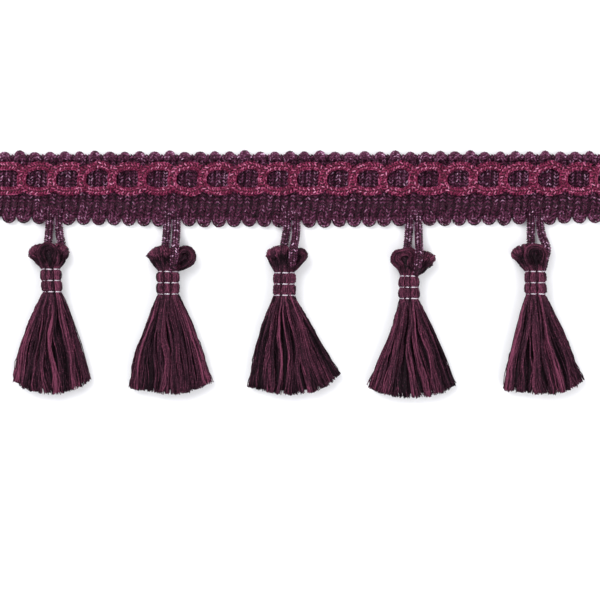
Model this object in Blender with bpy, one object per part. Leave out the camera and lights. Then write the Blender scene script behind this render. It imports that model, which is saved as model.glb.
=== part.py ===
"""A cut length of tassel trim, lying on its back.

The heading is a crocheted braid with a picot edge and a scalloped edge. Two flat cords cross over each
other along its face, so that they make a chain of rings. At every eighth stitch a cord loop runs out of
the scalloped edge and carries a tassel: a hank of yarn, folded over the loop, bound three times and cut
at the hem.

Metres, +X along the heading, +Y towards the picot edge, +Z out of the face. The origin is the centre of
the heading's flat back, and everything lies on the plane Z = 0.
"""

import math

import bmesh
import bpy
from mathutils import Vector

MM = 0.001
GAP = 0.3  # between pieces that lie against each other

# Heading, in millimetres like every size below
STITCH = 4.66  # one picot, and one scallop
STITCHES = 41
LENGTH = STITCH * STITCHES
HEADING_THICK = 2.2
PICOT_BASE_Y = 10.4
PICOT_HEIGHTS = (1.2, 1.5, 1.0, 1.1, 1.3)  # picots differ a little, in turn
PICOT_SHIFT = -0.8  # from mid-length to the nearest gap between picots
SCALLOP_BASE_Y = -9.6
SCALLOP_DEPTH = 1.0
SCALLOP_SHIFT = 0.48  # from mid-length to the nearest gap between scallops
EDGE_BOW = 1.3  # the scalloped edge bellies out by this much at mid-length
SEAM_Y = -5.1  # groove above the scalloped rows
SEAM_WIDE = 0.6
SEAM_DEEP = 0.7
POINTS_PER_STITCH = 3
NOTCH_HALF = 2.9  # where a hanger's two legs stand in for the scallops

# Two cords on the face, which cross wherever two rings meet
RING_PITCH = 2 * STITCH
RING_SHIFT = -1.86  # from mid-length to the nearest crossing
CROSSINGS = range(-9, 11)  # numbered from the one nearest mid-length
RING_TOP_Y = 6.7
RING_FOOT_Y = -0.65
RING_RISES = (0.0, 0.1, 0.0, 0.5, -0.1)  # the rings' tops differ a little, in turn
CORD_WIDE = 2.5
CORD_THICK = 1.2
CORD_SIDES = 6
CORD_Z = HEADING_THICK + GAP + CORD_THICK / 2
CORD_LIFT = CORD_THICK + GAP  # of the cord that passes over the other

# Past a crossing, from left to right: x from the crossing, y, and the share of CORD_LIFT
CROSSING_COLUMNS = ("x", "y", "lift")
RISING_ROWS = (  # the cord on top comes up from a ring's foot
    (-2.3, -0.55, 0.5),
    (-0.85, 0.7, 1.0),
    (-0.45, 2.6, 1.0),
    (0.05, 4.8, 1.0),
    (1.5, 6.3, 1.0),
)
FALLING_ROWS = (  # the cord below comes down from a ring's top
    (-1.7, 6.3, 0.0),
    (-0.3, 4.8, 0.0),
    (-0.1, 2.8, 0.0),
    (0.4, 0.9, 0.0),
    (1.9, -0.5, 0.0),
)

# Hangers
HANGER_R = 1.1
LEG_SPREAD = 1.5  # from the middle of a hanger to the middle of each leg, at the heading
HANGER_Z = 1.3  # in the heading's own thickness
BEND_R = 1.6  # half the distance between the legs where the cord turns in the head
BEND_ABOVE = 4.2  # the turn's centre, above the top binding

# Tassels
BINDINGS = 3
BINDING_PITCH = 3.46
BINDING_R = 0.28
NECK_HALF = 3.35  # at the rolls between the bindings
NECK_THICK = 5.4
NECK_WAIST = 0.84  # the waist under a binding, as a share of the roll
NECK_Z = 3.25
HEAD_TALL = 8.7
HEAD_THICK = 6.6
HEAD_PLEAT = 0.06  # depth of the folds round the head, as a share of its size
SKIRT_THICK = 5.6
HEM_THICK = 4.6
LOCKS = 10  # ridges of yarn round the skirt
LOCK_DEPTH = 0.13  # the same for the grooves between the skirt's locks
LOCK_RAGGED = 0.5  # how far neighbouring locks differ in length
SIDES = 2 * LOCKS
REST_FLAT = 0.35  # how much of the lowest yarn is pressed flat

# One row for each tassel. edge_x: the hanger's middle at the heading. neck_x, neck_y: middle of the top
# binding. lean: sideways shift of the lowest binding. left, right: how far the head's lobes reach from the
# neck's middle, and left_up, right_up how high above the binding. hem_*: the skirt's corners and lowest
# point. front_z: the height of the right leg as it passes the head.
TASSEL_COLUMNS = (
    "edge_x", "neck_x", "neck_y", "lean", "left", "left_up", "right", "right_up",
    "hem_left", "hem_left_y", "hem_right", "hem_right_y", "hem_y", "front_z",
)  # fmt: skip
TASSEL_ROWS = (
    (-76.3, -77.2, -25.1, 0.5, 7.4, 4.9, 5.8, 6.5, -88.3, -59.0, -65.8, -58.8, -63.3, 3.4),
    (-39.8, -40.8, -25.8, 0.0, 7.1, 6.0, 9.1, 4.9, -52.6, -61.4, -27.1, -59.4, -63.4, 6.3),
    (-2.6, -4.8, -26.2, -0.1, 5.6, 6.2, 7.8, 5.9, -16.1, -61.0, 12.6, -56.9, -63.8, 6.3),
    (35.3, 33.8, -27.2, 0.0, 6.2, 4.9, 8.4, 5.8, 21.5, -61.4, 47.9, -60.2, -64.6, 6.3),
    (73.1, 72.8, -25.8, 0.2, 7.6, 6.4, 4.6, 6.0, 63.6, -62.4, 87.6, -59.0, -63.5, 3.4),
)
TASSELS = [dict(zip(TASSEL_COLUMNS, row)) for row in TASSEL_ROWS]


def clear_scene():
    for obj in list(bpy.data.objects):
        bpy.data.objects.remove(obj, do_unlink=True)


def collection(name):
    made = bpy.data.collections.new(name)
    bpy.context.scene.collection.children.link(made)
    return made


def yarn_material(name, colour, roughness, metallic=0.0):
    material = bpy.data.materials.new(name)
    material.use_nodes = True
    shader = material.node_tree.nodes["Principled BSDF"]
    shader.inputs["Base Color"].default_value = (*colour, 1.0)
    shader.inputs["Roughness"].default_value = roughness
    shader.inputs["Metallic"].default_value = metallic
    return material


def link(name, data, group, material=None):
    obj = bpy.data.objects.new(name, data)
    group.objects.link(obj)
    if material:
        data.materials.append(material)
    return obj


def flat_curve(name, outlines, z_low, thick):
    """A flat piece from closed outlines: the first is its edge, and any others are its openings."""
    curve = bpy.data.curves.new(name, "CURVE")
    curve.dimensions = "2D"
    curve.fill_mode = "BOTH"
    curve.extrude = thick / 2 * MM
    for outline in outlines:
        spline = curve.splines.new("POLY")
        spline.points.add(len(outline) - 1)
        for point, (x, y) in zip(spline.points, outline):
            point.co = (x * MM, y * MM, 0.0, 1.0)
        spline.use_cyclic_u = True
    return curve, Vector((0.0, 0.0, (z_low + thick / 2) * MM))


def tube_curve(name, points, radius, closed=False, bevel_resolution=2):
    curve = bpy.data.curves.new(name, "CURVE")
    curve.dimensions = "3D"
    curve.bevel_depth = radius * MM
    curve.bevel_resolution = bevel_resolution
    curve.use_fill_caps = not closed
    spline = curve.splines.new("POLY")
    spline.points.add(len(points) - 1)
    for point, place in zip(spline.points, points):
        point.co = (*(Vector(place) * MM), 1.0)
    spline.use_cyclic_u = closed
    return curve


def as_mesh(obj):
    """Makes a curve object a mesh object with its caps welded, so that a Boolean can use it."""
    bpy.context.view_layer.update()
    evaluated = obj.evaluated_get(bpy.context.evaluated_depsgraph_get())
    mesh = bpy.data.meshes.new_from_object(evaluated)
    build = bmesh.new()
    build.from_mesh(mesh)
    bmesh.ops.remove_doubles(build, verts=build.verts, dist=0.01 * MM)
    bmesh.ops.recalc_face_normals(build, faces=build.faces)
    build.to_mesh(mesh)
    build.free()
    name, group, place = obj.name, obj.users_collection[0], obj.matrix_world.copy()
    bpy.data.objects.remove(obj)
    made = bpy.data.objects.new(name, mesh)
    made.matrix_world = place
    group.objects.link(made)
    return made


def cut(obj, cutter):
    cutter.hide_render = True
    cutter.display_type = "WIRE"
    modifier = obj.modifiers.new("cut " + cutter.name, "BOOLEAN")
    modifier.operation = "DIFFERENCE"
    modifier.object = cutter


def between(a, b, share):
    return a + (b - a) * share


def smooth(share):
    """An S-curve from 0 to 1."""
    share = min(1.0, max(0.0, share))
    return share * share * (3 - 2 * share)


def smooth_route(points, steps):
    """Points along a Catmull-Rom curve through the given ones, with this many steps to each span."""
    ends = [points[0] * 2 - points[1], *points, points[-1] * 2 - points[-2]]
    route = []
    for a, b, c, d in zip(ends, ends[1:], ends[2:], ends[3:]):
        for step in range(steps):
            t = step / steps
            bend = (a * 2 - b * 5 + c * 4 - d) * t * t + (b * 3 - a - c * 3 + d) * t**3
            route.append((b * 2 + (c - a) * t + bend) / 2)
    route.append(points[-1])
    return route


# Heading


def scallop_edge_y(x):
    return SCALLOP_BASE_Y - EDGE_BOW * math.cos(math.pi * x / LENGTH)


def over_hanger(x):
    return any(abs(x - row["edge_x"]) < NOTCH_HALF for row in TASSELS)


def stitch_points(shift):
    """(stitch number, place within the stitch, x) for points along an edge, from left to right."""
    for stitch in range(-STITCHES // 2 - 1, STITCHES // 2 + 2):
        for step in range(POINTS_PER_STITCH):
            phase = (step + 0.5) / POINTS_PER_STITCH
            x = (stitch + phase) * STITCH + shift
            if abs(x) < LENGTH / 2 - 0.2:
                yield stitch, phase, x


def picot_edge():
    """The upper edge, from left to right."""
    points = []
    for stitch, phase, x in stitch_points(PICOT_SHIFT):
        tall = PICOT_HEIGHTS[stitch % len(PICOT_HEIGHTS)]
        points.append((x, PICOT_BASE_Y + tall * math.sin(math.pi * phase)))
    return points


def scalloped_edge():
    """The lower edge, from left to right, with a straight-sided notch for each hanger."""
    points = []
    for _, phase, x in stitch_points(SCALLOP_SHIFT):
        if not over_hanger(x):
            points.append((x, scallop_edge_y(x) - SCALLOP_DEPTH * math.sin(math.pi * phase)))
    for row in TASSELS:
        left, right = row["edge_x"] - NOTCH_HALF, row["edge_x"] + NOTCH_HALF
        edge = scallop_edge_y(row["edge_x"])
        top = SEAM_Y - SEAM_WIDE / 2 - GAP
        points += [(left, edge), (left + 0.01, top), (right - 0.01, top), (right, edge)]
    return sorted(points)


def add_heading(group, cutters, material):
    end = LENGTH / 2
    sides = [(-end, PICOT_BASE_Y), (-end, scallop_edge_y(end))]
    other = [(end, scallop_edge_y(end)), (end, PICOT_BASE_Y)]
    outline = sides + scalloped_edge() + other + picot_edge()[::-1]
    curve, place = flat_curve("heading", [outline], 0.0, HEADING_THICK)
    heading = link("heading", curve, group)
    heading.location = place
    heading = as_mesh(heading)
    heading.data.materials.append(material)
    bpy.ops.mesh.primitive_cube_add(size=1.0)
    groove = bpy.context.object
    groove.name = "seam_cutter"
    for old in list(groove.users_collection):
        old.objects.unlink(groove)
    cutters.objects.link(groove)
    groove.scale = ((LENGTH + 4) * MM, SEAM_WIDE * MM, 2 * SEAM_DEEP * MM)
    groove.location = (0.0, SEAM_Y * MM, HEADING_THICK * MM)
    cut(heading, groove)


# Cords on the face


def cord_route(first):
    """One cord's route. It comes down at every second crossing, beginning at the first one or the next."""
    end = LENGTH / 2 - 2 * GAP
    route = [Vector((-end, RING_FOOT_Y if CROSSINGS[0] % 2 != first else RING_TOP_Y, CORD_Z))]
    for number in CROSSINGS:
        x = RING_SHIFT + number * RING_PITCH
        falling = number % 2 == first
        rise = RING_RISES[(number - 1) % len(RING_RISES)]
        before_y = RING_TOP_Y + rise if falling else RING_FOOT_Y
        route.append(Vector((x - RING_PITCH / 2, before_y, CORD_Z)))
        for row in FALLING_ROWS if falling else RISING_ROWS:
            place = dict(zip(CROSSING_COLUMNS, row))
            route.append(Vector((x + place["x"], place["y"], CORD_Z + CORD_LIFT * place["lift"])))
    route.append(Vector((end, RING_FOOT_Y if falling else RING_TOP_Y, CORD_Z)))
    return route


def cord_section(cutters):
    """The flat, rounded section that both cords have."""
    curve = bpy.data.curves.new("cord_section", "CURVE")
    curve.dimensions = "2D"
    spline = curve.splines.new("POLY")
    spline.points.add(CORD_SIDES - 1)
    for side, point in enumerate(spline.points):
        angle = -2 * math.pi * side / CORD_SIDES
        across, up = math.cos(angle) * CORD_WIDE / 2, math.sin(angle) / math.sin(math.pi / 3)
        point.co = (across * MM, up * CORD_THICK / 2 * MM, 0.0, 1.0)
    spline.use_cyclic_u = True
    section = link("cord_section", curve, cutters)
    section.hide_render = True
    return section


def add_cords(group, cutters, material):
    section = cord_section(cutters)
    for number, first in ((1, 0), (2, 1)):
        curve = tube_curve(f"scroll_cord_{number}", cord_route(first), 0.0)
        curve.bevel_mode = "OBJECT"
        curve.bevel_object = section
        curve.twist_mode = "Z_UP"
        link(curve.name, curve, group, material)


# Hangers and tassels


def hanger_route(row):
    """Down the left leg, round inside the head, and up the right leg."""
    top = SEAM_Y - SEAM_WIDE / 2 - 2 * GAP
    edge = scallop_edge_y(row["edge_x"]) - SCALLOP_DEPTH
    head_top = row["neck_y"] + HEAD_TALL
    turn = Vector((row["neck_x"], row["neck_y"] + BEND_ABOVE, between(2.2, row["front_z"], 0.5)))
    aside = Vector((1.0, 0.0, (row["front_z"] - 2.2) / 2.6)).normalized() * BEND_R
    left, right = turn - aside, turn + aside
    lowest = turn - Vector((0.0, BEND_R, 0.0))
    return smooth_route(
        [
            Vector((row["edge_x"] - LEG_SPREAD, top, HANGER_Z)),
            Vector((row["edge_x"] - LEG_SPREAD, edge, HANGER_Z)),
            between(Vector((row["edge_x"] - LEG_SPREAD, head_top, 2.0)), left, 0.3),
            left,
            lowest,
            right,
            between(Vector((row["edge_x"] + LEG_SPREAD, head_top, 3.0)), right, 0.4),
            Vector((row["edge_x"] + LEG_SPREAD, edge, HANGER_Z)),
            Vector((row["edge_x"] + LEG_SPREAD, top, HANGER_Z)),
        ],
        2,
    )


def neck_share(down):
    """The neck's size at this distance below the top binding, as a share of the rolls' size."""
    waist = 0.5 + 0.5 * math.cos(2 * math.pi * down / BINDING_PITCH)
    return between(1.0, NECK_WAIST, waist)


def head_section(row, up):
    """(left reach, right reach, thickness) of the head at this height above the top binding."""
    reach = []
    for side in ("left", "right"):
        peak = row[side + "_up"]
        if up < peak:
            share = smooth(up / peak) ** 0.9
            reach.append(between(NECK_HALF * NECK_WAIST, row[side], share))
        else:
            share = smooth((up - peak) / (HEAD_TALL - peak + 1.2))
            reach.append(between(row[side], 1.6, share))
    full = math.sin(math.pi * (0.12 + 0.76 * up / HEAD_TALL)) ** 0.5
    return reach[0], reach[1], between(NECK_THICK * NECK_WAIST, HEAD_THICK, full)


def hem_y(row, share):
    """The hem's y at this share of the way from its left corner to its right corner."""
    corner = between(row["hem_left_y"], row["hem_right_y"], share)
    return corner + (row["hem_y"] - corner) * math.sin(math.pi * share) ** 0.7


def section_loop(middle, y, left, right, thick, z_middle, lock_depth=0.0):
    """A ring of points round one section, flat where it would go below the plane it lies on."""
    ring = []
    for side in range(SIDES):
        angle = 2 * math.pi * side / SIDES
        size = 1.0 - (lock_depth if side % 2 else 0.0)
        across = math.cos(angle) * size
        x = middle + across * (right if across > 0 else left)
        z = z_middle + math.sin(angle) * size * thick / 2
        ring.append(Vector((x, y, max(0.0, z))))
    return ring


def head_loops(row):
    loops = []
    for up in (8.7, 7.4, 5.8, 3.9, 1.6):
        left, right, thick = head_section(row, up)
        middle = between(row["neck_x"], row["edge_x"], 0.5 * up / HEAD_TALL)
        z_middle = thick / 2 - REST_FLAT
        loops.append(section_loop(middle, row["neck_y"] + up, left, right, thick, z_middle, HEAD_PLEAT))
    return loops


def neck_loops(row):
    loops = []
    for step in range(2 * BINDINGS - 1):
        down = step * BINDING_PITCH / 2
        size = neck_share(down)
        half, thick = NECK_HALF * size, NECK_THICK * size
        middle = row["neck_x"] + row["lean"] * step / (2 * BINDINGS - 2)
        loops.append(section_loop(middle, row["neck_y"] - down, half, half, thick, NECK_Z))
    return loops


def skirt_loops(row):
    """From just below the last binding to the hem, whose locks end at uneven lengths."""
    start_y = row["neck_y"] - (BINDINGS - 1) * BINDING_PITCH
    start_x = row["neck_x"] + row["lean"]
    loops = []
    for share in (0.08, 0.25, 0.5, 0.78, 1.0):
        spread = share**0.85
        waist = NECK_HALF * NECK_WAIST
        low_x = between(start_x - waist, row["hem_left"], spread)
        high_x = between(start_x + waist, row["hem_right"], spread)
        thick = between(SKIRT_THICK, HEM_THICK, share)
        z_middle = between(NECK_Z, thick / 2 - REST_FLAT, smooth(share * 3))
        half, middle = (high_x - low_x) / 2, (high_x + low_x) / 2
        ring = section_loop(middle, 0.0, half, half, thick, z_middle, LOCK_DEPTH * smooth(2 * share))
        for side, point in enumerate(ring):
            across = min(1.0, max(0.0, (point.x - low_x) / (high_x - low_x)))
            ragged = LOCK_RAGGED * share**4 * math.sin(2.4 * side + row["edge_x"])
            point.y = between(start_y, hem_y(row, across) + ragged, share)
        loops.append(ring)
    return loops


def loft(name, loops):
    """A closed mesh through rings of equally many points, with a fan at each end."""
    mesh = bpy.data.meshes.new(name)
    build = bmesh.new()
    rings = [[build.verts.new(point * MM) for point in loop] for loop in loops]
    for upper, lower in zip(rings, rings[1:]):
        for side in range(SIDES):
            after = (side + 1) % SIDES
            build.faces.new((upper[side], upper[after], lower[after], lower[side]))
    for ring in (rings[0], rings[-1]):
        middle = sum((vert.co for vert in ring), Vector()) / SIDES
        hub = build.verts.new(middle)
        for side in range(SIDES):
            build.faces.new((ring[side], ring[(side + 1) % SIDES], hub))
    bmesh.ops.recalc_face_normals(build, faces=build.faces)
    build.to_mesh(mesh)
    build.free()
    return mesh


def add_hanger(name, row, group, material):
    link(name, tube_curve(name, hanger_route(row), HANGER_R, bevel_resolution=1), group, material)


def add_tassel(name, row, group, cutters, material):
    tassel = link(name, loft(name, head_loops(row) + neck_loops(row) + skirt_loops(row)), group, material)
    tassel.data.shade_smooth()
    channel = tube_curve(name + "_channel", hanger_route(row), HANGER_R + 1.25 * GAP, bevel_resolution=1)
    cut(tassel, as_mesh(link(name + "_channel", channel, cutters)))


def add_bindings(name, row, group, material):
    """Three turns of thread that sit in the waists of the neck."""
    steps = 10
    clear = 1.4 * GAP  # leaves GAP at the middle of each straight side
    for index in range(BINDINGS):
        half = NECK_HALF * NECK_WAIST + clear + BINDING_R
        tall = NECK_THICK / 2 * NECK_WAIST + clear + BINDING_R
        middle = Vector(
            (
                row["neck_x"] + row["lean"] * index / (BINDINGS - 1),
                row["neck_y"] - index * BINDING_PITCH,
                NECK_Z,
            )
        )
        ring = []
        for step in range(steps):
            angle = 2 * math.pi * step / steps
            ring.append(middle + Vector((half * math.cos(angle), 0.0, tall * math.sin(angle))))
        piece = f"{name}_{index + 1}"
        link(piece, tube_curve(piece, ring, BINDING_R, closed=True, bevel_resolution=0), group, material)


def main():
    clear_scene()
    group = collection("Tassel trim")
    cutters = collection("Cutters")
    aubergine = yarn_material("aubergine chainette", (0.07, 0.02, 0.05), 0.6)
    burgundy = yarn_material("burgundy chainette", (0.22, 0.03, 0.08), 0.55)
    floss = yarn_material("wine floss", (0.09, 0.015, 0.04), 0.65)
    silver = yarn_material("silver thread", (0.85, 0.82, 0.85), 0.35, 0.6)
    add_heading(group, cutters, aubergine)
    add_cords(group, cutters, burgundy)
    for number, row in enumerate(TASSELS, 1):
        add_hanger(f"hanger_{number}", row, group, aubergine)
        add_tassel(f"tassel_{number}", row, group, cutters, floss)
        add_bindings(f"binding_{number}", row, group, silver)


main()
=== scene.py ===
"""Looks for the tassel trim: a crocheted heading, two knitted cords on it, and five bound yarn tassels."""

from math import cos, pi, radians, sin, sqrt
from types import SimpleNamespace

import bpy
import numpy as np
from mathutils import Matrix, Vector

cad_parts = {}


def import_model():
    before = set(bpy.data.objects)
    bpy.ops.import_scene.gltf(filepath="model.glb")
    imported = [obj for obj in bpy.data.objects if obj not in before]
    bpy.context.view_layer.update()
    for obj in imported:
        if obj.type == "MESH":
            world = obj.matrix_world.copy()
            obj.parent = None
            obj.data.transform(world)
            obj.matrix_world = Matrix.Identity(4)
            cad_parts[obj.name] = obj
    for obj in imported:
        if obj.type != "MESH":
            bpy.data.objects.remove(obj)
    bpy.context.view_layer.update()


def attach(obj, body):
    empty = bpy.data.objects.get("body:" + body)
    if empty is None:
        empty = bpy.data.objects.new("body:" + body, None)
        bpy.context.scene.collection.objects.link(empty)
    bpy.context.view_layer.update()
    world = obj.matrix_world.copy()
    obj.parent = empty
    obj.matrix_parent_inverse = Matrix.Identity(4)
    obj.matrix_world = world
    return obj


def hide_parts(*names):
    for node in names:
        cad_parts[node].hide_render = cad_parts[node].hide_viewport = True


MM = 0.001  # the trim's sizes are in millimetres, and the room's in metres
UP = (0, 0, 1)
RANDOM_START = 11
STRANDS_APART, LOOPS_APART = 7.3, 5.7  # in the fibres' pattern, so that no two look the same

# Heading
STITCH = 4.66  # one picot, and one scallop
LENGTH = 41 * STITCH
SCALLOP_SHIFT = 0.48  # from mid-length to the nearest gap between scallops
EDGE_BOW = 1.3  # the scalloped edge bellies out by this much at mid-length
SEAM_Y = -5.1
SEAM_DEEP, SEAM_WIDE = 0.62, 0.6  # the dip that the seam pulls into the columns
FIRST_COLUMN, LAST_COLUMN = -41, 39  # cord columns, two to a scallop
COLUMN_LEANS = (0.7, 0.4)  # how far a column leans right below the seam and above it
KNOT_PITCH = 2.3
PAIR_SHIFT = 0.19  # below the seam the two columns of a scallop stand this much closer to its middle
COLUMN_TOP_Y = 9.3
COLUMN_FOOT_Y = -8.5
TURN_TALL = 0.3  # height of the cord's turn at either edge, hidden in the picots and scallops
PICOT_TALLS = (1.1, 1.4, 0.95, 1.0, 1.2)  # of the wrapped loops at the picot edge, in turn
PICOT_SHIFT = -0.8  # from mid-length to the nearest gap between picots
PICOT_Y = 9.85
PICOT_ROW_Y = 9.73  # of the cord that the picots stand on
PICOT_HALF = 1.12
PICOT_R = 0.66
SCALLOP_HALF = 1.1
SCALLOP_TALL = 1.15
COLUMN_Z = 1.15
COLUMN_LEAST_Z = 0.64  # in the seam
HANGER_EVERY = 8  # scallops
HANGER_TUCK = 2.6  # above a hanger the columns end this much short, and it comes out under them
FIRST_HANGER_SCALLOP = -17
SCALLOP_NUMBERS = range(-21, 21)  # and the picots' numbers
END_GAP = 2.0  # no scallop or picot has its middle nearer to an end of the heading

# Cords on the face
RING_PITCH = 2 * STITCH
RING_SHIFT = -1.86
CROSSINGS = range(-9, 11)
RING_TOP_Y = 6.9
RING_FOOT_Y = -0.75
RING_RISES = (0.0, 0.1, 0.0, 0.5, -0.1)  # of the runs along the rings' tops, in turn
RING_SAGS = (0.2, 0.05, 0.35, 0.2, 0.5, 0.1, 0.3)  # of the runs along their feet, in turn
FACE_CORD_Z = 3.0
FACE_CORD_LIFT = 1.15
FACE_CORD_END = 2.3  # from the heading's ends, where the cords are cut
FACE_CORD_END_DROP = 0.4  # there they lie this much lower
# How a cord crosses from one side of the rings to the other: x from the crossing's middle, y, and the share
# of FACE_CORD_LIFT
RISING_ROWS = (
    (-1.9, -0.6, 0.0), (-0.95, -0.05, 0.0), (-0.6, 0.9, 0.05), (-0.65, 2.3, 0.45),
    (-0.4, 3.6, 1.0), (0.2, 4.8, 1.0), (1.15, 5.85, 0.75), (2.4, 6.5, 0.3),
    (3.6, 6.85, 0.1),
)
FALLING_ROWS = (
    (-2.5, 6.8, 0.0), (-1.3, 6.2, 0.0), (-0.6, 5.1, -0.1), (-0.35, 3.9, 0.0),
    (-0.4, 2.7, 0.55), (-0.35, 1.5, 1.0), (0.15, 0.55, 1.0), (1.1, -0.2, 0.7),
    (2.3, -0.7, 0.2), (3.6, -0.9, 0.0),
)

# Knitted cord: the slant of its loops, in degrees, and how much they differ at random
PLAIN_SLANT, SLANT_SPREAD = 46.0, 7.0
PLACE_SPREAD = 0.06
SIZE_SPREAD = 0.08  # of a loop's own size
TONE_SPREAD = 0.07
SIDE_SHADE = 0.16  # painted shade: how much darker the loops at the cord's sides are
TIP_SHADE = 0.32  # painted shade: how much darker a loop's two tips are

# Hangers
LEG_SPREAD = 1.45
HANGER_Z = 1.54
HANGER_HALF = 1.16

# Tassels
BINDINGS = 3
BINDING_PITCH = 3.46
NECK_TALL = (BINDINGS - 1) * BINDING_PITCH
NECK_THICK = 5.4
NECK_WAIST = 0.82
NECK_Z = 3.25
HEAD_TALL = 8.7
SKIRT_THICK = 5.6
HEM_THICK = 4.6
FRONT_YARNS = 23  # that show; the others lie between and under them
INNER_YARNS = 10
YARNS = FRONT_YARNS + INNER_YARNS
YARN_INSET = 0.3  # from the neck's sides to the outermost yarns' middles
SKIRT_CORES = 11  # strands inside a skirt, dark as painted shade
FILAMENT_R = 0.14
PLY_R, PLY_OUT, PLY_TURNS = 0.14, 0.12, 16  # of the binding threads' plies
FOLD_STEPS = 2
NECK_KEYS = (2.0, 1.75, 1.25, 1.0, 0.75, 0.25, 0.0)  # binding pitches below the top binding
SKIRT_PARTS = (1.0, 0.86, 0.71, 0.56, 0.41, 0.25, 0.1)  # of the way down in front
BACK_PARTS = (0.2, 0.45, 0.75, 1.0)  # and behind
# How far the yarns sway together, the cycles of it across a skirt, and the radians on the way down
SWAYS = ((0.9, (0.5, 1.2), (3.0, 6.0)), (0.45, (1.5, 2.5), (6.0, 9.0)), (0.22, (3.0, 5.0), (9.0, 14.0)))
# The same for the locks that the yarns gather into, which stand out, with painted light on them and painted
# shade between them
LOCKS = ((0.5, (1.6, 2.6), (-2.0, 2.0)), (0.5, (3.0, 4.5), (-3.0, 3.0)), (0.35, (5.5, 8.0), (-3.0, 3.0)))
# Shares of the way to a fan's tip, heights there, and how far the yarn's filaments splay
FAN_KEYS = (
    (0.35, 0.5, 1.2), (0.6, 0.45, 1.45), (0.84, 0.9, 1.65), (0.96, 0.55, 1.8),
    (1.0, 0.0, 1.8), (0.96, -0.55, 1.8), (0.82, -0.9, 1.6), (0.5, -0.9, 1.3),
)
ARCH_SHARES = (0.06, 0.2, 0.34, 0.48, 0.62, 0.76, 0.9, 1.0)  # of the way round an arch
# Half width of a yarn's bundle at each key, from the front hem to the back one
BUNDLE_WIDTHS = (
    0.8, 0.72, 0.66, 0.6, 0.54, 0.46, 0.38,  # skirt
    0.3, 0.45, 0.45, 0.3, 0.45, 0.45, 0.3,  # neck
    0.45, 0.5, 0.55, 0.55, 0.55, 0.55, 0.5, 0.45,  # head
    0.3, 0.3, 0.3,  # back of the neck
    0.5, 0.6, 0.7, 0.8,  # back of the skirt
)
# The keys of a yarn's route that its filaments run from and to, how many of them do, how much they waver,
# and the chance that one strays from its yarn
FILAMENT_RUNS = (
    (0, 28, 2, 0.05, 0.05),  # from hem to hem
    (0, 8, 11, 0.12, 0.05),  # the front of the skirt
    (7, 23, 7, 0.05, 0.0),  # the neck and the head
    (24, 28, 5, 0.12, 0.05),  # the back of the skirt
)

# edge_x: the hanger's middle at the heading. neck_x, neck_y: middle of the top binding. lean: sideways
# shift of the lowest binding. hem_*: the skirt's corners and lowest point. leg_x, leg_z: where the
# hanger's right leg passes the head. foot_x, foot_z: where it goes in at the top binding. neck_half: half
# the width of the rolls between the bindings. belly_*: how far the skirt's side bellies out.
TASSEL_COLUMNS = (
    "edge_x", "neck_x", "neck_y", "lean", "hem_left", "hem_left_y", "hem_right", "hem_right_y", "hem_y",
    "leg_x", "leg_z", "foot_x", "foot_z", "neck_half", "belly_left", "belly_right",
)
TASSEL_ROWS = (
    (-76.3, -77.2, -25.1, 0.5, -88.3, -59.0, -65.8, -58.8, -63.3, -74.0, 1.5, -76.6, 2.2, 3.4, 0.85, 0.35),
    (-39.8, -40.8, -25.8, 0.0, -52.6, -61.4, -27.1, -59.4, -63.4, -38.6, 6.2, -39.4, 5.2, 3.85, 0.5, 0.2),
    (-2.6, -4.8, -26.2, -0.1, -16.1, -61.0, 12.6, -56.9, -63.8, -2.0, 6.0, -2.7, 3.0, 3.7, 0.45, -0.1),
    (35.3, 33.8, -27.2, 0.0, 21.5, -61.4, 47.9, -60.2, -64.6, 36.8, 6.2, 36.0, 4.9, 3.45, -0.3, 0.25),
    (73.1, 72.8, -25.8, 0.2, 63.6, -62.4, 87.6, -59.0, -63.5, 76.4, 3.5, 75.3, 3.0, 3.65, 0.65, 0.05),
)
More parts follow.
